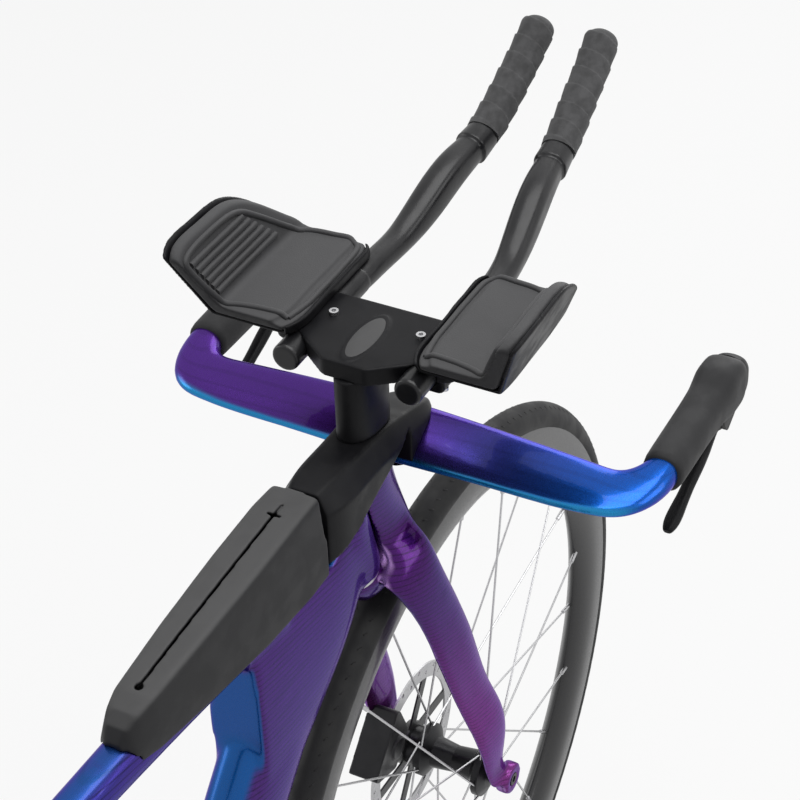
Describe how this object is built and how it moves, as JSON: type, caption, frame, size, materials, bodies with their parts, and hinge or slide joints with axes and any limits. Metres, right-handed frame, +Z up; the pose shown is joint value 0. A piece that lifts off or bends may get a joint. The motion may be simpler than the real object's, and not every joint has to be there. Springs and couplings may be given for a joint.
{
  "type": "time trial bicycle",
  "caption": "Time trial bicycle with moulded aero frame, steering fork, base bar, extensions with armrests, deep spoked wheels, disc brakes, chain drive and saddle.",
  "frame": {"origin": "ground under the middle of the wheelbase, in the bicycle's middle plane", "axes": "+X forward, +Y to the rider's left, +Z up"},
  "size_m": [1.667, 0.434, 0.9903],
  "materials": {
    "frame_paint": "colour-shift metallic lacquer, violet to blue",
    "fork_paint": "colour-shift metallic lacquer, violet to magenta",
    "bar_paint": "colour-shift metallic lacquer, violet to blue",
    "black_satin": "satin black",
    "extension_black": "semi-gloss black",
    "soft_black": "soft matte rubber",
    "foam": "charcoal foam",
    "tape": "suede-like wrapped tape",
    "tyre": "matte",
    "carbon": "satin black composite",
    "steel": "brushed",
    "alloy": "satin",
    "black_alloy": "black anodised",
    "saddle_cover": "matte"
  },
  "bodies": {
    "frame": {"main_frame": "frame_paint", "left_chainstay": "frame_paint", "right_chainstay": "frame_paint", "left_seatstay": "frame_paint", "right_seatstay": "frame_paint", "frame_bearings": "steel", "storage_box": "black_satin", "storage_box_lid": "soft_black", "rear_caliper": "black_alloy", "rear_thru_axle": "black_alloy", "derailleur_hanger": "black_alloy", "chain": "steel"},
    "seat": {"seatpost": "carbon", "saddle_rails": "alloy", "saddle_shell": "carbon", "saddle_pad": "saddle_cover"},
    "steering": {"fork": "fork_paint", "stem": "black_satin", "stem_clamp": "black_satin", "base_bar": "bar_paint", "riser": "black_satin", "bridge": "black_satin", "left_extension": "extension_black", "right_extension": "extension_black", "grip_tapes": "tape", "left_armrest_cup": "black_satin", "right_armrest_cup": "black_satin", "left_arm_pad": "foam", "right_arm_pad": "foam", "brake_hoods": "soft_black", "lever_bodies": "black_satin", "front_caliper": "black_alloy", "front_thru_axle": "black_alloy", "cockpit_bolts": "steel"},
    "left_lever": {"left_brake_lever": "black_satin"},
    "right_lever": {"right_brake_lever": "black_satin"},
    "front_wheel": {"front_tyre": "tyre", "front_rim": "carbon", "front_spokes": "steel", "front_hub": "black_alloy", "front_rotor": "steel"},
    "rear_wheel": {"rear_tyre": "tyre", "rear_rim": "carbon", "rear_spokes": "steel", "rear_hub": "black_alloy", "rear_rotor": "steel"},
    "cassette": {"cassette": "steel"},
    "crank": {"right_crank": "black_alloy", "left_crank": "black_alloy", "chainring": "black_alloy"},
    "derailleur_outer_link": {"derailleur_outer_link": "black_alloy"},
    "derailleur_inner_link": {"derailleur_inner_link": "black_alloy"},
    "derailleur_knuckle": {"derailleur_knuckle": "black_alloy"},
    "derailleur_cage": {"derailleur_cage": "black_alloy"},
    "guide_pulley": {"guide_pulley": "black_satin"},
    "tension_pulley": {"tension_pulley": "black_satin"},
    "front_outer_pad": {"front_outer_pad": "black_satin"},
    "front_inner_pad": {"front_inner_pad": "black_satin"},
    "rear_outer_pad": {"rear_outer_pad": "black_satin"},
    "rear_inner_pad": {"rear_inner_pad": "black_satin"}
  },
  "joints": [
    {"name": "steering", "type": "hinge", "parent": "frame", "child": "steering", "pos_m": [0.32427, 0, 0.73], "axis": [-0.309, 0, 0.9511], "range_deg": [-40, 40]},
    {"name": "front_wheel_spin", "type": "hinge", "parent": "steering", "child": "front_wheel", "pos_m": [0.4975, 0, 0.336], "axis": [0, 1, 0], "continuous": true},
    {"name": "rear_wheel_spin", "type": "hinge", "parent": "frame", "child": "rear_wheel", "pos_m": [-0.4975, 0, 0.336], "axis": [0, 1, 0], "continuous": true},
    {"name": "crank_spin", "type": "hinge", "parent": "frame", "child": "crank", "pos_m": [-0.0995, 0, 0.261], "axis": [0, 1, 0], "continuous": true, "deforming": ["chain"]},
    {"name": "cassette_spin", "type": "hinge", "parent": "frame", "child": "cassette", "pos_m": [-0.4975, 0, 0.336], "axis": [0, 1, 0], "continuous": true, "deforming": ["chain"]},
    {"name": "seat_height", "type": "slide", "parent": "frame", "child": "seat", "axis": [-0.2079, 0, 0.9781], "range_m": [-0.04, 0.03]},
    {"name": "left_lever_pull", "type": "hinge", "parent": "steering", "child": "left_lever", "pos_m": [0.5815, 0.2, 0.731], "axis": [0, 1, 0], "range_deg": [0, 14], "stiffness_Nm_per_rad": 0.8, "springref_deg": -5.73},
    {"name": "right_lever_pull", "type": "hinge", "parent": "steering", "child": "right_lever", "pos_m": [0.5815, -0.2, 0.731], "axis": [0, 1, 0], "range_deg": [0, 14], "stiffness_Nm_per_rad": 0.8, "springref_deg": -5.73},
    {"name": "front_outer_pad_press", "type": "slide", "parent": "steering", "child": "front_outer_pad", "axis": [0, -1, 0], "range_m": [0, 0.00056]},
    {"name": "front_inner_pad_press", "type": "slide", "parent": "steering", "child": "front_inner_pad", "axis": [0, 1, 0], "range_m": [0, 0.00056]},
    {"name": "rear_outer_pad_press", "type": "slide", "parent": "frame", "child": "rear_outer_pad", "axis": [0, -1, 0], "range_m": [0, 0.00056]},
    {"name": "rear_inner_pad_press", "type": "slide", "parent": "frame", "child": "rear_inner_pad", "axis": [0, 1, 0], "range_m": [0, 0.00056]},
    {"name": "derailleur_shift", "type": "hinge", "parent": "frame", "child": "derailleur_outer_link", "pos_m": [-0.5085, -0.096, 0.276], "axis": [0, 0, 1], "range_deg": [-22, 22], "deforming": ["chain"]},
    {"name": "derailleur_inner_turn", "type": "hinge", "parent": "frame", "child": "derailleur_inner_link", "pos_m": [-0.5185, -0.086, 0.276], "axis": [0, 0, 1], "range_deg": [-22.5, 22.5]},
    {"name": "derailleur_knuckle_turn", "type": "hinge", "parent": "derailleur_outer_link", "child": "derailleur_knuckle", "pos_m": [-0.4845, -0.082, 0.276], "axis": [0, 0, 1], "range_deg": [-22.5, 22.5], "deforming": ["chain"]},
    {"name": "cage_swing", "type": "hinge", "parent": "derailleur_knuckle", "child": "derailleur_cage", "pos_m": [-0.4965, -0.06, 0.268], "axis": [0, 1, 0], "range_deg": [-12, 20], "stiffness_Nm_per_rad": 1.2, "deforming": ["chain"]},
    {"name": "guide_pulley_spin", "type": "hinge", "parent": "derailleur_cage", "child": "guide_pulley", "pos_m": [-0.4905, -0.045, 0.258], "axis": [0, 1, 0], "continuous": true, "deforming": ["chain"]},
    {"name": "tension_pulley_spin", "type": "hinge", "parent": "derailleur_cage", "child": "tension_pulley", "pos_m": [-0.46094, -0.045, 0.19899], "axis": [0, 1, 0], "continuous": true, "deforming": ["chain"]}
  ],
  "couplings": [
    {"joint": "cassette_spin", "follows": "crank_spin", "ratio": 3.25},
    {"joint": "guide_pulley_spin", "follows": "crank_spin", "ratio": -4.3333},
    {"joint": "tension_pulley_spin", "follows": "crank_spin", "ratio": 4.3333},
    {"joint": "derailleur_inner_turn", "follows": "derailleur_shift", "ratio": 1},
    {"joint": "derailleur_knuckle_turn", "follows": "derailleur_shift", "ratio": -1},
    {"joint": "front_outer_pad_press", "follows": "left_lever_pull", "m_per_rad": 0.0022509},
    {"joint": "front_inner_pad_press", "follows": "left_lever_pull", "m_per_rad": 0.0022509},
    {"joint": "rear_outer_pad_press", "follows": "right_lever_pull", "m_per_rad": 0.0022509},
    {"joint": "rear_inner_pad_press", "follows": "right_lever_pull", "m_per_rad": 0.0022509}
  ]
}
